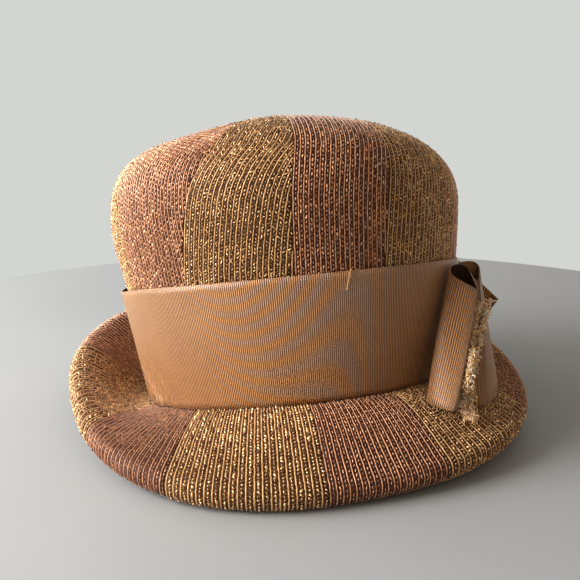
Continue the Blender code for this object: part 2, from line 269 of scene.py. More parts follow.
def add(tree, kind, inputs=None, **settings):
    """A new node. Its inputs take numbers, sockets, or nodes that give their first output."""
    node = tree.nodes.new(kind)
    for key, value in settings.items():
        setattr(node, key, value)
    for key, value in (inputs or {}).items():
        if isinstance(value, bpy.types.Node):
            value = value.outputs[0]
        if isinstance(value, bpy.types.NodeSocket):
            tree.links.new(value, node.inputs[key])
        else:
            node.inputs[key].default_value = value
    return node


print("helpers ready in", scene.name)

# %% [markdown]
# ## Camera
# The hat stands on a pale floor and is lit from its left. The camera comes first, because every
# other choice is judged through it. It looks down at the hat by about fourteen degrees, from half a
# metre away, with a normal lens, and is turned by under a degree.

# %% Camera
PICTURE = 580.0
FOCAL_PIXELS = 848.0
SENSOR = 36.0
CAMERA_PLACE = (-0.0045, -0.489, 0.195)
CAMERA_DIP = 0.2513
CAMERA_ROLL = -0.012
camera = link("camera", bpy.data.cameras.new("camera"))
camera.data.sensor_width = SENSOR
camera.data.lens = SENSOR * FOCAL_PIXELS / PICTURE
looking = Matrix.Rotation(math.pi / 2.0 - CAMERA_DIP, 4, "X") @ Matrix.Rotation(CAMERA_ROLL, 4, "Z")
camera.matrix_world = Matrix.Translation(CAMERA_PLACE) @ looking
camera.data.clip_start = 0.01
scene.camera = camera
scene.view_settings.view_transform = "Standard"
scene.view_settings.exposure = 0.22
scene.view_settings.gamma = 0.84
print("lens", round(camera.data.lens, 2))

# %% [markdown]
# ## Floor and lamps
# A real product picture has one large soft light, so the shadows have no hard edge. Here it is an
# area lamp high on the left. A second lamp behind it keeps the far side readable, and a faint warm
# one stands for what the room sends back. The world is paler behind the hat. The floor is a round.

# %% Floor and lamps
HAT_MIDDLE = Vector((0.0, 0.0, 0.08))
LAMPS = {
    "window_lamp": ((-1.08, -0.33, 0.50), (0.9, 0.9), 31.0, (0.98, 0.99, 1.0)),
    "side_lamp": ((-0.95, 0.62, 0.52), (0.8, 0.8), 5.0, (0.95, 0.98, 1.0)),
    "room_lamp": ((0.55, -1.3, 0.75), (1.6, 1.2), 2.1, (1.0, 0.72, 0.44)),
}
for name, (place, size, energy, colour) in LAMPS.items():
    lamp = bpy.data.lights.new(name, "AREA")
    lamp.shape = "RECTANGLE"
    lamp.size, lamp.size_y = size
    lamp.energy = energy
    lamp.color = colour
    aim = (HAT_MIDDLE - Vector(place)).to_track_quat("-Z", "Y").to_matrix().to_4x4()
    link(name, lamp).matrix_world = Matrix.Translation(place) @ aim

SKY_NEAR = (0.37, 0.345, 0.31, 1.0)
SKY_BEHIND = (0.60, 0.61, 0.59, 1.0)
SKY_SPAN = (-0.3, 0.8)
SKY_SLOPE = -0.6
world = bpy.data.worlds.new("pale_room")
scene.world = world
world.use_nodes = True
sky = world.node_tree
direction = add(sky, "ShaderNodeTexCoord")
parts = add(sky, "ShaderNodeSeparateXYZ", {0: direction.outputs["Generated"]})
lower = add(sky, "ShaderNodeMath", {0: parts.outputs["Z"], 1: SKY_SLOPE, 2: parts.outputs["Y"]},
            operation="MULTIPLY_ADD")
behind = add(sky, "ShaderNodeMapRange",
             {"Value": lower, "From Min": SKY_SPAN[0], "From Max": SKY_SPAN[1]})
tones = add(sky, "ShaderNodeMix", {0: behind, 6: SKY_NEAR, 7: SKY_BEHIND}, data_type="RGBA")
sky.links.new(tones.outputs[2], sky.nodes["Background"].inputs["Color"])

FLOOR_DROP = 0.0006
FLOOR_RADIUS = 0.44
FLOOR_SIDES = 96
floor = link("floor", bpy.data.meshes.new("floor"))
form = bmesh.new()
bmesh.ops.create_circle(form, cap_ends=True, segments=FLOOR_SIDES, radius=FLOOR_RADIUS)
bmesh.ops.translate(form, verts=form.verts, vec=(0.0, 0.0, -FLOOR_DROP))
form.to_mesh(floor.data)
form.free()

# %% [markdown]
# ## Writing materials as sums
# A finish here is a set of small sums on coordinates, such as how far a point is from the next
# wale. Node by node that is long to write, so one small class lets a socket be added, multiplied
# and compared like a number, and each sign adds its own Math node.


# %% A socket that can be reckoned with
def plain(item):
    """The socket of a Value, and anything else as it is."""
    return item.socket if isinstance(item, Value) else item


class Value:
    def __init__(self, tree, socket):
        self.tree = tree
        self.socket = socket

    def sum_of(self, operation, *others):
        terms = {slot: plain(item) for slot, item in enumerate((self, *others))}
        node = add(self.tree, "ShaderNodeMath", terms, operation=operation)
        return Value(self.tree, node.outputs[0])

    def __add__(self, other):
        return self.sum_of("ADD", other)

    def __mul__(self, other):
        return self.sum_of("MULTIPLY", other)

    def __sub__(self, other):
        return self.sum_of("SUBTRACT", other)

    def __rsub__(self, other):
        return (self * -1.0) + other

    def fraction(self):
        return self.sum_of("FRACT")

    def size(self):
        return self.sum_of("ABSOLUTE")

    def sine(self):
        return self.sum_of("SINE")

    def step(self, low, high):
        """0 below low and 1 above high, smoothly between them."""
        span = {"Value": self.socket, "From Min": low, "From Max": high}
        node = add(self.tree, "ShaderNodeMapRange", span, interpolation_type="SMOOTHSTEP")
        return Value(self.tree, node.outputs["Result"])


print("sums of sockets ready")


# %% [markdown]
# ## One class for a finish
# Every finish starts from a Principled shader. This class holds it with its node tree, so that a
# finish can ask for noise, for the piece's own map or for a blend of two colours in one line each.

# %% A finish that is being written
class Finish:
    """A material that is being written, with the constants of its shader by name."""

    def __init__(self, name, constants):
        self.material = bpy.data.materials.new(name)
        self.material.use_nodes = True
        self.tree = self.material.node_tree
        self.shader = self.tree.nodes["Principled BSDF"]
        for key, value in constants.items():
            self.shader.inputs[key].default_value = value

    def node(self, kind, inputs=None, output=0, **settings):
        taken = {key: plain(item) for key, item in (inputs or {}).items()}
        return Value(self.tree, add(self.tree, kind, taken, **settings).outputs[output])

    def blend(self, first, second, share):
        """A colour between two colours."""
        return self.node("ShaderNodeMix", {0: share, 6: first, 7: second}, 2, data_type="RGBA")

    def noise(self, scale):
        place = self.node("ShaderNodeTexCoord", output="Object")
        return self.node("ShaderNodeTexNoise", {"Vector": place, "Scale": scale, "Detail": 2.0})

    def tone(self):
        """The tone that each knot or curl was given by chance."""
        return self.node("ShaderNodeAttribute", output="Fac", attribute_name="tone")

    def across_and_along(self):
        """The piece's own map: across its wales or ribs, and along them."""
        place = self.node("ShaderNodeTexCoord", output="UV")
        split = add(self.tree, "ShaderNodeSeparateXYZ", {0: place.socket})
        return Value(self.tree, split.outputs["X"]), Value(self.tree, split.outputs["Y"])

    def finish(self, colour, bump=None, height=0.0003, strength=0.5, roughness=None):
        results = {"Base Color": colour}
        if roughness is not None:
            results["Roughness"] = roughness
        if bump is not None:
            relief = {"Height": bump, "Distance": height, "Strength": strength}
            results["Normal"] = self.node("ShaderNodeBump", relief, "Normal")
        for key, value in results.items():
            self.tree.links.new(value.socket, self.shader.inputs[key])
        return self.material


def shade(red, green, blue):
    return (red, green, blue, 1.0)


print("finishes can be written")

# %% [markdown]
# ## Finishes of the straw
# The straw is knitted from two yarns. A dull, pale thread runs up each wale as a raised line, and
# a flat, shiny one makes the knots between the lines. Under them the fabric is open, and the dark
# colour of the ground is painted shade, for the shade seen through its holes. So each straw needs
# three finishes: the ground, the wale and the knot.


# %% Ground, wale and knot
def ground_finish(name, hole_shade, thread):
    """The open fabric between the wales, crossed by slanting threads at every stitch."""
    finish = Finish(name, {"Roughness": 0.75})
    across, along = finish.across_and_along()
    slant = (across.fraction() - 0.5).size() * 1.1
    crossing = (along + slant + finish.noise(scale=900.0) * 0.5).fraction()
    thread_mask = 1.0 - (crossing - 0.5).size().step(low=0.10, high=0.24)
    tint = finish.blend(thread, hole_shade, finish.noise(scale=90.0) * 0.5)
    # Painted shade: the dark colour stands in for the shade seen through the open holes; the
    # slanting threads keep their own colour.
    colour = finish.blend(hole_shade, tint, thread_mask * 0.85)
    return finish.finish(colour, thread_mask, height=0.0006, strength=0.6)


def wale_finish(name, pale, deep, sheen):
    """The thread that runs along a wale, a little uneven in tone and fuzzy."""
    finish = Finish(name, {"Roughness": 0.52, "Metallic": 0.15, "Sheen Weight": sheen,
                           "Sheen Roughness": 0.5, "Coat Weight": 0.55, "Coat Roughness": 0.28})
    stitches = finish.noise(scale=420.0)
    patches = finish.noise(scale=60.0)
    share = (stitches * 0.9 + patches * 0.6 - 0.25).step(low=0.1, high=0.9)
    colour = finish.blend(deep, pale, share)
    return finish.finish(colour, finish.noise(scale=2400.0), height=0.0003, strength=0.5)


def knot_finish(name, pale, deep, metallic, roughness):
    """The shiny yarn of the knots: each knot has a tone of its own."""
    finish = Finish(name, {"Roughness": roughness, "Metallic": metallic, "Coat Weight": 1.0,
                           "Coat Roughness": 0.20})
    tone = finish.tone()
    share = (tone * 0.8 + finish.noise(scale=70.0) * 0.5 - 0.15).step(low=0.1, high=0.95)
    colour = finish.blend(deep, pale, share)
    return finish.finish(colour, finish.noise(scale=1600.0), height=0.0003, strength=0.4,
                         roughness=tone * 0.2 + roughness - 0.1)


# The dark ground colours of both straws are painted shade in the holes of the knit.
GOLD = {
    "ground": ground_finish("gold_ground", shade(0.065, 0.024, 0.004), shade(0.25, 0.125, 0.03)),
    "wale": wale_finish("gold_wale", shade(0.78, 0.49, 0.22), shade(0.38, 0.18, 0.05), 0.3),
    "knot": knot_finish("gold_knot", shade(0.84, 0.54, 0.27), shade(0.22, 0.09, 0.020), 0.65, 0.34),
}
COPPER = {
    "ground": ground_finish("copper_ground", shade(0.050, 0.012, 0.002), shade(0.18, 0.052, 0.012)),
    "wale": wale_finish("copper_wale", shade(0.80, 0.42, 0.21), shade(0.36, 0.13, 0.04), 0.7),
    "knot": knot_finish("copper_knot", shade(0.74, 0.39, 0.21), shade(0.18, 0.05, 0.011), 0.45,
                        0.32),
}
print("straw finishes", [item.name for item in (*GOLD.values(), *COPPER.values())])

# %% [markdown]
# ## A tree that knits
# Hundreds of wales run over the hat, each with a row of knots beside it. They follow paths on the
# surface, which is the work of Geometry Nodes: every path of kind 1 becomes a cord, and along every
# path of kind 2 a small spindle is set down stitch by stitch.

# %% Node helpers
def new_tree(name, sizes, materials):
    """A tree with named inputs, those inputs inside it, and the socket of its result."""
    tree = bpy.data.node_groups.new(name, "GeometryNodeTree")
    for side in ("INPUT", "OUTPUT"):
        tree.interface.new_socket("Geometry", in_out=side, socket_type="NodeSocketGeometry")
    for kind, names in (("NodeSocketFloat", sizes), ("NodeSocketMaterial", materials)):
        for item in names:
            tree.interface.new_socket(item, in_out="INPUT", socket_type=kind)
    start = tree.nodes.new("NodeGroupInput")
    return tree, start.outputs, tree.nodes.new("NodeGroupOutput").inputs[0]


def of_kind(tree, geometry, kind):
    """What part of the geometry has this number in its kind attribute."""
    label = add(tree, "GeometryNodeInputNamedAttribute", {"Name": "kind"}, data_type="INT")
    same = add(tree, "FunctionNodeCompare", {2: label.outputs["Attribute"], 3: kind},
               data_type="INT", operation="EQUAL")
    split = add(tree, "GeometryNodeSeparateGeometry", {"Geometry": geometry, "Selection": same},
                domain="POINT")
    return split.outputs["Selection"]


def random_number(tree, seed, low=0.0, high=1.0):
    node = add(tree, "FunctionNodeRandomValue", {2: low, 3: high, "Seed": seed}, data_type="FLOAT")
    return node.outputs[1]


def random_vector(tree, seed, reach):
    node = add(tree, "FunctionNodeRandomValue", {0: (-reach,) * 3, 1: (reach,) * 3, "Seed": seed},
               data_type="FLOAT_VECTOR")
    return node.outputs[0]


def scaled(tree, vector, factor):
    return add(tree, "ShaderNodeVectorMath", {0: vector, "Scale": factor}, operation="SCALE")


print("node helpers ready")


# %% [markdown]
# ## Scatter and grow
# Both trees of this lesson set a small form down along paths, give each copy a tone by chance and
# turn the copies into real faces. The last function runs a tree on an object and keeps the plain
# mesh that comes out.

# %% Helpers that scatter and grow
def seats_on(tree, edges, spacing):
    """Points at an even spacing along loose edges."""
    path = add(tree, "GeometryNodeMeshToCurve", {"Mesh": edges})
    return add(tree, "GeometryNodeCurveToPoints", {"Curve": path, "Length": spacing}, mode="LENGTH")


def dressed(tree, geometry, material):
    even = add(tree, "GeometryNodeSetShadeSmooth", {"Geometry": geometry})
    return add(tree, "GeometryNodeSetMaterial", {"Geometry": even, "Material": material})


def scattered(tree, seats, form, turn, size, seed, material):
    """A form on every seat, with a tone by chance, as real geometry."""
    placed = add(tree, "GeometryNodeInstanceOnPoints",
                 {"Points": seats, "Instance": form, "Rotation": turn, "Scale": size})
    toned = add(tree, "GeometryNodeStoreNamedAttribute",
                {"Geometry": placed, "Name": "tone", "Value": random_number(tree, seed)},
                data_type="FLOAT", domain="INSTANCE")
    return dressed(tree, add(tree, "GeometryNodeRealizeInstances", {"Geometry": toned}), material)


def grown(source, tree, values):
    """The plain mesh that a tree makes of an object, in place of that object."""
    modifier = source.modifiers.new("grow", "NODES")
    modifier.node_group = tree
    for item in tree.interface.items_tree:
        if item.item_type == "SOCKET" and item.in_out == "INPUT" and item.name in values:
            modifier[item.identifier] = values[item.name]
    name = source.name
    mesh = plain_mesh(source, keep_layers=True)
    mesh.name = name
    return link(name, mesh)


print("tree helpers ready")


# %% [markdown]
# ## Cords and knots
# In the real fabric a wale is a column of loops, and the shiny yarn lies between two wales in small
# slanting knots. Modelling the yarn's whole way would take millions of faces. Two simple forms read
# the same from arm's length: a thin wavering cord for the wale, and a spindle leaning by chance for
# each knot. The tree takes the ground as it is, and gives cord and knots their own materials.

# %% The knitting tree
WAVER_SCALE = 450.0
CORD_SIDES = 5
SPINDLE = {"Segments": 5, "Rings": 3, "Radius": 1.0}
KNOT_SPREAD = (0.70, 1.25)
LEAN_SEED, SIZE_SEED, TONE_SEED = 2, 5, 11


def knitting_tree():
    sizes = ("Wale Radius", "Knot Length", "Knot Width", "Knot Lean", "Stitch", "Waver")
    tree, start, end = new_tree("knitting", sizes, ("Wale", "Knot"))
    ground, cord_edges, knot_edges = (of_kind(tree, start["Geometry"], kind) for kind in range(3))

    path = add(tree, "GeometryNodeMeshToCurve", {"Mesh": cord_edges})
    steps = add(tree, "GeometryNodeResampleCurve", {"Curve": path, "Length": start["Stitch"]},
                mode="LENGTH")
    place = add(tree, "GeometryNodeInputPosition")
    wobble = add(tree, "ShaderNodeTexNoise", {"Vector": place, "Scale": WAVER_SCALE})
    centred = add(tree, "ShaderNodeVectorMath", {0: wobble.outputs["Color"], 1: (0.5, 0.5, 0.5)},
                  operation="SUBTRACT")
    moved = add(tree, "GeometryNodeSetPosition",
                {"Geometry": steps, "Offset": scaled(tree, centred, start["Waver"])})
    profile = add(tree, "GeometryNodeCurvePrimitiveCircle",
                  {"Resolution": CORD_SIDES, "Radius": start["Wale Radius"]})
    cords = add(tree, "GeometryNodeCurveToMesh", {"Curve": moved, "Profile Curve": profile})
    cords = dressed(tree, cords, start["Wale"])

    seats = seats_on(tree, knot_edges, start["Stitch"])
    form = add(tree, "GeometryNodeMeshUVSphere", SPINDLE)
    turn = add(tree, "FunctionNodeAlignRotationToVector", {"Vector": seats.outputs["Tangent"]},
               axis="Z")
    lean = scaled(tree, random_vector(tree, LEAN_SEED, 1.0), start["Knot Lean"])
    leaning = add(tree, "FunctionNodeRotateRotation", {"Rotation": turn, "Rotate By": lean},
                  rotation_space="LOCAL")
    size = add(tree, "ShaderNodeCombineXYZ",
               {"X": start["Knot Width"], "Y": start["Knot Width"], "Z": start["Knot Length"]})
    varied = scaled(tree, size, random_number(tree, SIZE_SEED, *KNOT_SPREAD))
    knots = scattered(tree, seats, form, leaning, varied, TONE_SEED, start["Knot"])

    whole = add(tree, "GeometryNodeJoinGeometry")
    for part in (knots.outputs[0], cords.outputs[0], ground):
        tree.links.new(part, whole.inputs[0])
    tree.links.new(whole.outputs[0], end)
    return tree


KNITTING = knitting_tree()
print("nodes in the knitting tree", len(KNITTING.nodes))

# %% [markdown]
# ## Seams and gores
# Each gore is cut from knitted straw with its wales along its left seam. Towards the tip the gore
# narrows, so the wales run out one after another into its right seam, which is why they meet that
# seam at a slant. On the brim they fan out instead, from the head to the edge.

# %% Seams
SEAM_COLUMNS = ("foot", "shoulder", "tip", "ledge", "edge")
SEAMS = (
    (-92.0, -92.0, -76.0, -103.0, -98.5),
    (-60.0, -62.0, -47.0, -64.0, -53.5),
    (-36.0, -21.0, -17.0, -37.0, -25.5),
    (1.0, 3.5, 1.0, 2.5, 7.0),
    (28.0, 33.0, 46.0, 31.0, 33.5),
    (63.0, 66.0, 74.0, 63.0, 65.0),
    (88.0, 90.0, 100.0, 88.0, 90.0),
    (121.0, 121.0, 128.0, 121.0, 121.5),
    (147.0, 147.0, 153.0, 147.0, 147.0),
    (181.0, 181.0, 184.0, 181.0, 180.0),
    (207.5, 208.0, 212.0, 206.0, 205.0),
    (241.5, 241.0, 243.0, 235.0, 236.0),
)
SHOULDER_SHARE = 0.60
SEAM_GAP = 0.00006


def seam_pair(index, column):
    first = SEAMS[index][SEAM_COLUMNS.index(column)]
    last = SEAMS[(index + 1) % len(SEAMS)][SEAM_COLUMNS.index(column)]
    return math.radians(first), math.radians(last + 360.0 if last <= first else last)


def crown_seam_pair(index, way):
    shoulders = seam_pair(index, "shoulder")
    if way < SHOULDER_SHARE:
        share = (way / SHOULDER_SHARE) ** 2
        return [mix(foot, high, share) for foot, high in zip(seam_pair(index, "foot"), shoulders)]
    share = smooth((way - SHOULDER_SHARE) / (1.0 - SHOULDER_SHARE))
    return [mix(low, tip, share) for low, tip in zip(shoulders, seam_pair(index, "tip"))]


print("seams", len(SEAMS))


# %% [markdown]
# ## A gore of the crown
# The maker cuts the gore with its left edge along a wale. A wale is then a line that keeps its
# distance from the left seam, until the gore is too narrow for it and it ends in the right seam. The
# points of each wale are worked out here row by row, and its end is put just short of that seam.

# %% A gore of the crown as points
STITCH = 0.0022
CROWN_PITCHES = (0.0028, 0.0024)
FIRST_WALE = 0.25
SEAM_MARGIN = 0.12
CROWN_ROWS = 46
CROWN_COLUMNS = 14
WALE_START = 0.27
GOLDEN_STEP = 0.618


def crown_row(index, way):
    """The two seam angles of a row of the gore, kept off the seams, and the row's width."""
    first, last = crown_seam_pair(index, way)
    chord = (crown_surface(first, way) - crown_surface((first + last) / 2.0, way)).length
    width = 2.0 * chord
    clear = SEAM_GAP / 2.0 / width * (last - first)
    return first + clear, last - clear, width


def lengths_up(grid):
    """How far each row of a grid is from the first one, along its middle."""
    lengths = [0.0]
    for before, after in zip(grid, grid[1:]):
        middle = len(after) // 2
        lengths.append(lengths[-1] + (after[middle] - before[middle]).length)
    return lengths


def crown_gore(index, pitch):
    """Grid, map and wale paths of a gore. Its wales keep their distance from the left seam."""
    rows = [crown_row(index, step / CROWN_ROWS) for step in range(CROWN_ROWS + 1)]
    columns = range(CROWN_COLUMNS + 1)
    grid = [[crown_surface(mix(first, last, column / CROWN_COLUMNS), step / CROWN_ROWS)
             for column in columns] for step, (first, last, width) in enumerate(rows)]
    chart = [[(row[2] * column / CROWN_COLUMNS / pitch, length / STITCH) for column in columns]
             for row, length in zip(rows, lengths_up(grid))]
    paths = []
    widest = max(row[2] for row in rows)
    margin = pitch * SEAM_MARGIN
    for count in range(int(2 * widest / pitch)):
        distance = (FIRST_WALE + count / 2.0) * pitch
        points = []
        for step, (first, last, width) in enumerate(rows):
            way = step / CROWN_ROWS
            if way < WALE_START:
                continue
            room = width - margin - distance
            if not points and room > 0.0:
                early = (step - count * GOLDEN_STEP % 1.0) / CROWN_ROWS
                points.append(crown_surface(mix(first, last, distance / width), early))
                continue
            before = rows[step - 1][2] - margin - distance
            if room * before < 0.0:
                part = before / (before - room)
                ends = [mix(rows[step - 1][side], rows[step][side], part) for side in (0, 1)]
                seam_angle = mix(ends[0], ends[1], distance / (distance + margin))
                points.append(crown_surface(seam_angle, (step - 1 + part) / CROWN_ROWS))
            if room > 0.0:
                points.append(crown_surface(mix(first, last, distance / width), way))
            elif points:
                break
        if len(points) > 1:
            paths.append((1 + count % 2, points))
    return grid, chart, paths


print("front gore: paths", len(crown_gore(2, CROWN_PITCHES[0])[2]))

# %% [markdown]
# ## A gore of the brim
# On the brim the knitting is stretched towards the edge, so the same number of wales fills a gore
# from the head line to the roll. A wale keeps its share of the gore's width, which is simpler.

# %% A gore of the brim as points
FLARE_STEPS = 16
ROLL_STEPS = 14
BRIM_COLUMNS = 20
BRIM_WALES = 20


def brim_gore(index):
    """Grid, map and wale paths of a gore. Its wales fan out from the head to the edge."""
    foot_first, foot_last = seam_pair(index, "ledge")
    edge_first, edge_last = seam_pair(index, "edge")
    clear = SEAM_GAP / HEAD_HALF_WIDTH
    ways = [-1.0] + [step / FLARE_STEPS for step in range(FLARE_STEPS + 1)]
    ways += [1.0 + (step + 1) / ROLL_STEPS for step in range(ROLL_STEPS)] + [3.0]

    def place(share, way):
        foot = mix(foot_first + clear, foot_last - clear, share)
        edge = mix(edge_first + clear, edge_last - clear, share)
        return brim_surface(foot, edge, way)

    columns = range(BRIM_COLUMNS + 1)
    grid = [[place(column / BRIM_COLUMNS, way) for column in columns] for way in ways]
    chart = [[(BRIM_WALES * column / BRIM_COLUMNS, length / STITCH) for column in columns]
             for length in lengths_up(grid)]
    paths = []
    for count in range(2 * BRIM_WALES):
        share = (FIRST_WALE + count / 2.0) / BRIM_WALES
        points = [place(share, way) for way in ways if 0.0 <= way <= 2.0]
        paths.append((1 + count % 2, points))
    grid.reverse()
    chart.reverse()
    return grid, chart, paths


print("brim gore: rows", len(brim_gore(3)[0]))


# %% [markdown]
# ## Sheets with a wall
# Straw has thickness, and an edge shows it. A grid of points becomes one layer of faces with its own
# map, across the wales and along them in stitches. Solidify then gives it a wall inwards.

# %% Sheet maker
GROUND_WALL = 0.8
RIBBON_WALL = 0.7


def sheet_mesh(name, grid, chart, wall, materials, closed=False, side=-1.0):
    """A sheet of quads with its map and a wall. Its materials are for face, back and rim."""
    mesh = bpy.data.meshes.new(name)
    for material in materials:
        mesh.materials.append(material)
    sheet = bmesh.new()
    layer = sheet.loops.layers.uv.new("map")
    rows = [[sheet.verts.new(point) for point in line] for line in grid]
    for row in range(len(rows) - 1):
        count = len(rows[row])
        for step in range(count if closed else count - 1):
            after = (step + 1) % count
            corners = ((row, step), (row, after), (row + 1, after), (row + 1, step))
            face = sheet.faces.new([rows[line][column] for line, column in corners])
            face.smooth = True
            for loop, (line, column) in zip(face.loops, corners):
                wrapped = closed and column == 0 and step > 0
                loop[layer].uv = chart[line][count if wrapped else column]
    sheet.to_mesh(mesh)
    sheet.free()
    piece = link(name, mesh)
    thick = piece.modifiers.new("wall", "SOLIDIFY")
    thick.thickness = wall
    thick.offset = side
    thick.use_even_offset = True
    thick.material_offset = min(1, len(materials) - 1)
    thick.material_offset_rim = min(2, len(materials) - 1)
    return plain_mesh(piece)


print("sheet maker ready")


# %% [markdown]
# ## From points to a gore
# The wale paths go into the mesh of the ground as loose edges, each with the number of its kind, for
# the tree to pick up. The tree's result then stands in for the solid.

# %% A gore with its wales
def add_strand(form, points):
    """A row of loose edges through the points."""
    corners = [form.verts.new(point) for point in points]
    for before, after in zip(corners, corners[1:]):
        form.edges.new((before, after))
    return corners


def knitted_gore(name, node, gore, straw, sizes):
    """A gore's ground with its wales and knots, in place of its solid."""
    grid, chart, paths = gore
    ground = sheet_mesh(name, grid, chart, STRAW_WALL * GROUND_WALL, [straw["ground"]])
    form = bmesh.new()
    form.from_mesh(ground)
    kinds = form.verts.layers.int.new("kind")
    for kind, points in paths:
        for corner in add_strand(form, points):
            corner[kinds] = kind
    form.to_mesh(ground)
    form.free()
    values = {**sizes, "Wale": straw["wale"], "Knot": straw["knot"]}
    piece = grown(link(name, ground), KNITTING, values)
    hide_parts(node)
    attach(piece, "root")
    return piece


def triangles(piece):
    return sum(len(face.vertices) - 2 for face in piece.data.polygons)


print("gore maker ready")

# %% [markdown]
# ## Knit the hat
# Gold and copper gores take turns. The gold straw has a wider pitch and knots that lean every way,
# so it glitters, and the copper one is finer with knots that lie along it. On the brim the gold is
# knitted fuller, so its yarns are thicker.

# %% Knit all the gores
GOLD_SIZES = {"Wale Radius": 0.00038, "Knot Length": 0.00120, "Knot Width": 0.00043,
              "Knot Lean": 1.0, "Stitch": 0.0018, "Waver": 0.0009}
COPPER_SIZES = {"Wale Radius": 0.00036, "Knot Length": 0.00115, "Knot Width": 0.00046,
                "Knot Lean": 0.35, "Stitch": 0.0023, "Waver": 0.0009}
BRIM_KNOTS = (1.50, 0.75)
BRIM_CORDS = (1.20, 0.92)
added = 0
for index in range(len(SEAMS)):
    kind = index % 2
    straw = (GOLD, COPPER)[kind]
    sizes = (GOLD_SIZES, COPPER_SIZES)[kind]
    brim_sizes = {**sizes, "Knot Width": sizes["Knot Width"] * BRIM_KNOTS[kind],
                  "Wale Radius": sizes["Wale Radius"] * BRIM_CORDS[kind]}
    gores = {"crown": (crown_gore(index, CROWN_PITCHES[kind]), sizes),
             "brim": (brim_gore(index), brim_sizes)}
    for part, (gore, part_sizes) in gores.items():
        piece = knitted_gore(f"{part}_gore_{index + 1:02d}", f"{part}_panel_{index + 1:02d}", gore,
                             straw, part_sizes)
        added += triangles(piece)
print("triangles in the straw", added)

# %% [markdown]
# ## Tip of the crown
# Where the twelve gores meet, their ends are drawn together into a small round. Its solid has the
# right shape already, so it only takes the gold straw.

# %% Tip
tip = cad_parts["tip_knot"]
tip.data.materials.clear()
tip.data.materials.append(GOLD["wale"])

# %% [markdown]
# ## The ribbon
# Grosgrain is woven with fine ribs from edge to edge. A rib is far narrower than a fold, so the
# ribs are bump and painted light and shade: dark in their grooves and pale on their crests. The
# folds and the corner that stands off the crown are in the mesh.

# %% Ribbon finish
def ribbon_finish(name, pale, deep, shine):
    finish = Finish(name, {"Roughness": 0.52, "Specular IOR Level": shine, "Coat Weight": shine,
                           "Coat Roughness": 0.50, "Sheen Weight": 0.12 * shine,
                           "Sheen Roughness": 0.40, "Sheen Tint": shade(1.0, 0.72, 0.45)})
    rib, weft = ((way * (2.0 * math.pi)).sine() * 0.5 + 0.5 for way in finish.across_and_along())
    uneven = finish.noise(scale=55.0)
    strands = finish.noise(scale=700.0)
    # Painted light and shade: the colour is deep in the grooves between ribs and pale on their
    # crests, as grazing light falls on them; the noise adds random unevenness.
    share = (rib * 0.75 + strands * 0.20 + uneven * 0.20).step(low=0.20, high=0.90)
    colour = finish.blend(deep, pale, share)
    return finish.finish(colour, rib * 0.85 + weft * 0.15, height=0.0013, strength=1.0)


# The back and the inside of the ribbon are the same peach as its face; their darker colours are
# painted shade, for faces that lie against the crown or inside the loops.
SHADED_BACK = ribbon_finish("ribbon_back_painted_shade", shade(0.07, 0.022, 0.006), shade(0.03, 0.009, 0.003), 0.1)
SHADED_INSIDE = ribbon_finish("ribbon_inside_painted_shade", shade(0.50, 0.23, 0.075), shade(0.26, 0.095, 0.022), 0.4)
SELVEDGE = ribbon_finish("ribbon_edge", shade(0.80, 0.44, 0.20), shade(0.46, 0.20, 0.07), 1.0)
# PEACH: its deep colour is the painted shade of the rib grooves.
PEACH = ribbon_finish("peach_grosgrain", shade(0.85, 0.400, 0.115), shade(0.18, 0.053, 0.007), 1.0)
print("ribbon finishes 4")


# %% [markdown]
# ## Measuring a ribbon
# The ribs have the same pitch everywhere, so a ribbon's map is counted in ribs. Its way round is
# measured along its middle row, from point to point.

# %% Ribbon measures
RIB_PITCH = 0.00105


def rib_chart(girth, height, lines, steps):
    """The map of a closed ribbon, counted in ribs round it and up it."""
    return [[(round(girth / RIB_PITCH) * step / steps, height * line / lines / RIB_PITCH)
             for step in range(steps + 1)] for line in range(lines + 1)]


def ring_length(points):
    return sum((after - before).length for before, after in zip(points, points[1:] + points[:1]))


def full_turn(steps):
    return [2.0 * math.pi * step / steps for step in range(steps)]


print("ribbon ribs a metre", round(1.0 / RIB_PITCH))


# %% [markdown]
# ## The band
# The ribbon is pulled round the crown, so it follows the wall and is flat across. On the left its
# upper corner stands off where the crown turns away, and low down it has a few slanting creases,
# because a straight ribbon can't lie smoothly on a cone. The creases are small ridges that run out.

# %% Band
BAND_CORNER_STANDOFF = 0.0028
BAND_CORNER_ANGLE = -97.0
BAND_CORNER_SPREAD = 17.0
BAND_SAG = (-84.0, 26.0, 0.0016)
BAND_STEPS = 480
BAND_LINES = 20
FLUTES = ((-57.0, -36.0, 1.7, 0.0026), (-52.6, -30.0, 1.8, -0.0004),
          (-47.5, -30.0, 2.0, 0.0012), (-39.0, -18.0, 3.0, 0.0006))
FLUTE_TOP = 0.62
BAND_TUCK = 0.012
BAND_FACE_OFFSET = 0.0003


def band_point(angle, share, flutes=()):
    wall = crown_wall(angle, 1.0).z - crown_wall(angle, 0.0).z
    centre, spread, depth = BAND_SAG
    sag = depth * share * bump_at(angle, centre, spread)
    height = BAND_LIFT + HEAD_GAP + BAND_WIDTH * share - sag
    off = BAND_CLEARANCE
    off += BAND_CORNER_STANDOFF * share ** 2 * bump_at(angle, BAND_CORNER_ANGLE, BAND_CORNER_SPREAD)
    for centre, slant, spread, depth in flutes:
        fade = smooth((FLUTE_TOP - share) / FLUTE_TOP)
        off += depth * fade * bump_at(angle, centre + slant * share, spread)
    return crown_wall(angle, height / wall) + band_normal(angle) * off


grid = []
for line in range(BAND_LINES + 1):
    share = mix(-BAND_TUCK, 1.0, line / BAND_LINES)
    grid.append([band_point(angle, share, FLUTES) + band_normal(angle) * BAND_FACE_OFFSET
                 for angle in full_turn(BAND_STEPS)])
band_length = ring_length(grid[BAND_LINES // 2])
chart = rib_chart(band_length, BAND_WIDTH, BAND_LINES, BAND_STEPS)
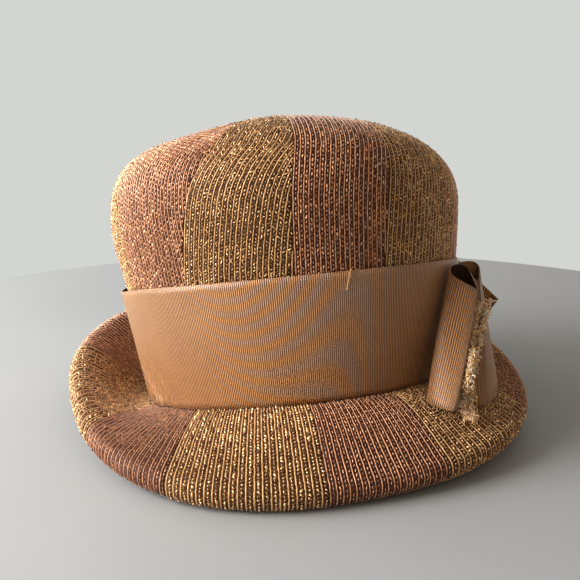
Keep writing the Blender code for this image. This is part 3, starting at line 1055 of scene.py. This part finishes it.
# The band's back, against the crown, takes the darkest ribbon colour as painted shade.
band = link("ribbon_band", sheet_mesh("ribbon_band", grid, chart, BAND_WALL * RIBBON_WALL,
                                      [PEACH, SHADED_BACK, SELVEDGE], True, 1.0))
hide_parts("hat_band")
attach(band, "root")
print("band", round(band_length, 3), "m long")

# %% [markdown]
# ## The bow
# The bow is the same ribbon folded into upright tubes: a narrow loop in front, a wider one behind
# and a folded tail. Each is described by its lower and its upper rim, and the ribbon runs straight
# from one to the other, so its ribs stand upright.

# %% Loops
BOW_RIBBON_WIDTH = 0.0640
BOW_WALL = 0.0010
BOW_CLEARANCE = 0.0005
LOOP_PINCHES = (0.35, 0.80)
LOOP_COLUMNS = ("root", "heading", "reach", "thickness", "standoff", "rise", "droop")
LOOPS = {
    "bow_front_loop": ((40.0, -26.0, 0.325, 0.23, 0.190, -0.024, 0.05),
                       (59.0, -14.0, 0.247, 0.195, 0.034, 0.925, 0.68)),
    "bow_back_loop": ((55.0, -47.7, 0.496, 0.44, 0.092, 0.045, 0.46),
                      (67.0, -34.3, 0.195, 0.21, 0.040, 0.960, 0.65)),
    "bow_tail_loop": ((88.0, 4.0, 0.33, 0.040, 0.020, 0.640, 0.55),
                      (86.6, 2.4, 0.38, 0.032, 0.020, 0.840, 0.97)),
}
LOOP_SIDES = 64
LOOP_LINES = 14


def loop_rim(section):
    row = dict(zip(LOOP_COLUMNS, section))
    root = math.radians(row["root"])
    heading = math.radians(row["heading"])
    half_length = BOW_RIBBON_WIDTH * row["reach"] / 2.0
    half_width = BOW_RIBBON_WIDTH * row["thickness"] / 2.0
    normal = band_normal(root)
    share = min(max(row["rise"] * BOW_RIBBON_WIDTH / BAND_WIDTH, 0.0), 1.0)
    standoff = math.hypot(half_length * math.cos(heading), half_width * math.sin(heading))
    standoff += BAND_WALL + BOW_CLEARANCE + BOW_RIBBON_WIDTH * row["standoff"]
    centre = band_point(root, share) + normal * standoff
    centre.z = head_height(root) + row["rise"] * BOW_RIBBON_WIDTH
    return centre, math.atan2(normal.y, normal.x) + heading, half_length, half_width, row["droop"]


def loop_point(rims, share, turn):
    pairs = zip(loop_rim(rims[0]), loop_rim(rims[1]))
    centre, outward, half_length, half_width, droop = (mix(low, high, share) for low, high in pairs)
    along = half_length * math.cos(turn)
    pinch = mix(LOOP_PINCHES[0], LOOP_PINCHES[1], share)
    across = half_width * math.sin(turn) * (1.0 - pinch * math.cos(turn))
    direction = Vector((math.cos(outward), math.sin(outward), 0.0))
    side = Vector((-math.sin(outward), math.cos(outward), 0.0))
    point = centre + direction * along + side * across
    point.z -= droop * along
    return point


for name, rims in LOOPS.items():
    grid = [[loop_point(rims, line / LOOP_LINES, turn) for turn in full_turn(LOOP_SIDES)]
            for line in range(LOOP_LINES + 1)]
    girth = ring_length(grid[LOOP_LINES // 2])
    height = sum((top - foot).length for foot, top in zip(grid[0], grid[-1])) / LOOP_SIDES
    chart = rib_chart(girth, height, LOOP_LINES, LOOP_SIDES)
    # Painted shade inside the loops: the front loop's inside gets the darkest colour, the other
    # loops a less dark one.
    inner_shade = SHADED_BACK if name == "bow_front_loop" else SHADED_INSIDE
    loop = link(f"ribbon_{name}", sheet_mesh(name, grid, chart, BOW_WALL * RIBBON_WALL,
                                             [PEACH, inner_shade, SELVEDGE], True))
    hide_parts(name)
    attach(loop, "root")
    print(name, "girth", round(girth, 4), "height", round(height, 4))

# %% [markdown]
# ## Frayed ends
# The cut ends of the ribbon have come apart into curled metallic threads. A curl is a short spiral
# of thread. Geometry Nodes set many of them down along the end, each turned and sized by chance
# with a fixed seed.

# %% Frayed finish
fray = Finish("frayed_thread", {"Roughness": 0.28, "Coat Weight": 1.0, "Coat Roughness": 0.15})
FRAYED = fray.finish(fray.blend(shade(1.0, 0.58, 0.22), shade(1.0, 0.94, 0.78), fray.tone()))
print("finish", FRAYED.name)


# %% [markdown]
# ## Curled threads
# A metallic thread that is pulled out of a ribbon keeps the waves of the weave and curls. One short
# spiral is enough to say that. Set down every millimetre at any turn and in several sizes, it makes
# a bushy fringe without hundreds of drawn curves.

# %% Curls
CURL = {"Resolution": 9, "Rotations": 1.4, "Start Radius": 0.45, "End Radius": 0.12, "Height": 1.3}
CURL_TURN = 3.1
CURL_SPREAD = (0.6, 1.25)
THREAD_SIDES = 3
CURL_TURN_SEED, CURL_SIZE_SEED, CURL_TONE_SEED = 3, 8, 21


def curl_tree():
    tree, start, end = new_tree("curls", ("Spacing", "Curl Size", "Thread Radius"), ("Thread",))
    seats = seats_on(tree, start["Geometry"], start["Spacing"])
    spiral = add(tree, "GeometryNodeCurveSpiral", CURL)
    thin = add(tree, "ShaderNodeMath", {0: start["Thread Radius"], 1: start["Curl Size"]},
               operation="DIVIDE")
    profile = add(tree, "GeometryNodeCurvePrimitiveCircle",
                  {"Resolution": THREAD_SIDES, "Radius": thin})
    curl = add(tree, "GeometryNodeCurveToMesh", {"Curve": spiral, "Profile Curve": profile})
    turn = random_vector(tree, CURL_TURN_SEED, CURL_TURN)
    size = add(tree, "ShaderNodeMath",
               {0: start["Curl Size"], 1: random_number(tree, CURL_SIZE_SEED, *CURL_SPREAD)},
               operation="MULTIPLY")
    curls = scattered(tree, seats, curl, turn, size, CURL_TONE_SEED, start["Thread"])
    tree.links.new(curls.outputs[0], end)
    return tree


CURLS = curl_tree()
print("nodes in the curl tree", len(CURLS.nodes))

# %% [markdown]
# ## Where the fringes hang
# The long fringe runs down the front of the back loop, bushy at both ends, and the short one lies on
# the front loop's edge. Each is a set of strands side by side that follow a path on the loop, given
# as height, turn round the loop and distance from it.

# %% Frayed ends on their loops
FRAY_WIDTH = 0.0056
FRAY_DEPTH = 0.0032
FRAY_RISES = (0.35, 0.85)
FRAY_SHAKE = 0.0004
FRAY_SEED = 7
FRAY_STRANDS = {"frayed_end_long": 10, "frayed_end_short": 5}
FRAY_STEPS = 12
FRAY_SIZES = {"Spacing": 0.0010, "Curl Size": 0.0022, "Thread Radius": 0.00030, "Thread": FRAYED}
BUSHY_START = 0.75
BUSHY_BLEND = 0.15
BUSHY_GROWTH = 0.7
LOOP_STEP = math.pi / 20.0
FRAYS = {
    "frayed_end_long": ("bow_back_loop", (
        (-0.05, -22.0, 0.155),
        (0.03, -34.0, 0.045),
        (0.15, -38.0, 0.016),
        (0.33, -40.0, 0.007),
        (0.50, -34.0, 0.007),
        (0.68, -26.0, 0.007),
        (0.84, 0.0, 0.004),
    )),
    "frayed_end_short": ("bow_front_loop", (
        (0.12, 50.0, 0.000),
        (0.31, 20.0, 0.000),
        (0.47, 24.0, 0.000),
    )),
}


def fray_section(rims, path, along):
    place = along * (len(path) - 1)
    step = min(int(place), len(path) - 2)
    share, degrees, standoff = (mix(low, high, place - step)
                                for low, high in zip(path[step], path[step + 1]))
    turn = math.radians(degrees)
    before = loop_point(rims, share, turn - LOOP_STEP)
    after = loop_point(rims, share, turn + LOOP_STEP)
    level = Vector((after.x - before.x, after.y - before.y, 0.0)).normalized()
    outward = Vector((level.y, -level.x, 0.0))
    middle = loop_point(rims, share, turn) + outward * (BOW_CLEARANCE + BOW_RIBBON_WIDTH * standoff)
    return middle, level, outward


chance = random.Random(FRAY_SEED)
for name, (loop_name, path) in FRAYS.items():
    form = bmesh.new()
    for _ in range(FRAY_STRANDS[name]):
        side = chance.uniform(-0.5, 0.5) * FRAY_WIDTH
        points = []
        for step in range(FRAY_STEPS + 1):
            along = step / FRAY_STEPS
            middle, level, outward = fray_section(LOOPS[loop_name], path, along)
            bushy = 1.0 + BUSHY_GROWTH * smooth((along - BUSHY_START) / BUSHY_BLEND)
            rise = FRAY_DEPTH * chance.uniform(*FRAY_RISES)
            aside = side * bushy + chance.uniform(-FRAY_SHAKE, FRAY_SHAKE)
            points.append(middle + level * aside + outward * rise)
        add_strand(form, points)
    mesh = bpy.data.meshes.new(name)
    form.to_mesh(mesh)
    form.free()
    fringe = grown(link(f"curls_{name}", mesh), CURLS, FRAY_SIZES)
    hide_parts(name)
    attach(fringe, "root")
    print(name, "triangles", triangles(fringe))

# %% [markdown]
# ## Loose threads
# A row of chain stitches holds the ribbon's end, and a few threads have come loose. A thread is a
# curve with a round section, turned into a plain mesh.

# %% Thread maker
THREAD_RADIUS = 0.00016
HAIR_RADIUS = 0.00014


def thread(name, points, radius):
    """A thin thread along points, as a mesh."""
    line = bpy.data.curves.new(name, "CURVE")
    line.dimensions = "3D"
    line.bevel_depth = radius
    line.bevel_resolution = 1
    spline = line.splines.new("POLY")
    spline.points.add(len(points) - 1)
    for knot, point in zip(spline.points, points):
        knot.co = (*point, 1.0)
    mesh = plain_mesh(link(name, line))
    mesh.materials.clear()
    mesh.materials.append(FRAYED)
    mesh.shade_smooth()
    piece = link(name, mesh)
    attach(piece, "root")


print("thread maker ready")

# %% [markdown]
# ## Where the threads lie
# The chain stitch is two waves that cross on the band. Of the loose threads, one hangs beside the
# long fringe and one lies on the brim's rolled edge.

# %% Place the threads
BAND_FACE = BAND_WALL * RIBBON_WALL + BAND_FACE_OFFSET
CHAIN_LINKS = 7
CHAIN_STEPS = 8
CHAIN_ANGLES = (17.5, 16.0)
CHAIN_SHARES = (1.02, 0.86)
CHAIN_SWING = 0.0035
CHAIN_LIFT = 0.00035
CHAIN_CROSSING = 0.0002
BOW_THREAD = ((0.36, 0.0022), (0.30, 0.0036), (0.22, 0.0045), (0.13, 0.0051), (0.05, 0.0049),
              (0.0, 0.0038))
BOW_THREAD_RISE = 0.0016
BRIM_THREAD = ((1.50, 0.0002), (1.62, 0.0009), (1.74, 0.0012), (1.86, 0.0006))
BRIM_THREAD_ANGLES = (-15.0, -14.2)
BRIM_THREAD_RISE = 0.0002
for half in (-1.0, 1.0):
    points = []
    for step in range(CHAIN_LINKS * CHAIN_STEPS + 1):
        along = step / (CHAIN_LINKS * CHAIN_STEPS)
        angle = math.radians(mix(*CHAIN_ANGLES, along))
        swing = half * math.sin(math.pi * CHAIN_LINKS * along)
        place = band_point(angle + swing * CHAIN_SWING, mix(*CHAIN_SHARES, along))
        off = BAND_FACE + CHAIN_LIFT + CHAIN_CROSSING * half * swing
        points.append(place + band_normal(angle) * off)
    thread(f"chain_stitch_{'left' if half < 0.0 else 'right'}", points, THREAD_RADIUS)

loop_name, path = FRAYS["frayed_end_long"]
points = []
for along, aside in BOW_THREAD:
    middle, level, outward = fray_section(LOOPS[loop_name], path, along)
    points.append(middle + level * aside + outward * BOW_THREAD_RISE)
thread("loose_thread_bow", points, THREAD_RADIUS)

points = []
for way, stand in BRIM_THREAD:
    angle = math.radians(mix(*BRIM_THREAD_ANGLES, way - BRIM_THREAD[0][0]))
    point = brim_surface(angle, angle, way)
    points.append(Vector((point.x, point.y - stand, point.z + BRIM_THREAD_RISE)))
thread("loose_thread_brim", points, HAIR_RADIUS)
print("threads 4")

# %% [markdown]
# ## What the ribbons are
# A loop is a cut piece of ribbon, with a height and a girth. The fringes belong to the loops that
# they hang on.

print("loops and fringes of ribbon")

# %% [markdown]
# ## The floor
# The floor only has to be quiet: a pale, dull tone with very soft patches.

# %% Floor finish
dull = Finish("pale_floor", {"Roughness": 0.7})
tones = dull.blend(shade(0.35, 0.355, 0.355), shade(0.41, 0.415, 0.415), dull.noise(scale=6.0))
floor.data.materials.append(dull.finish(tones))
print("floor done")
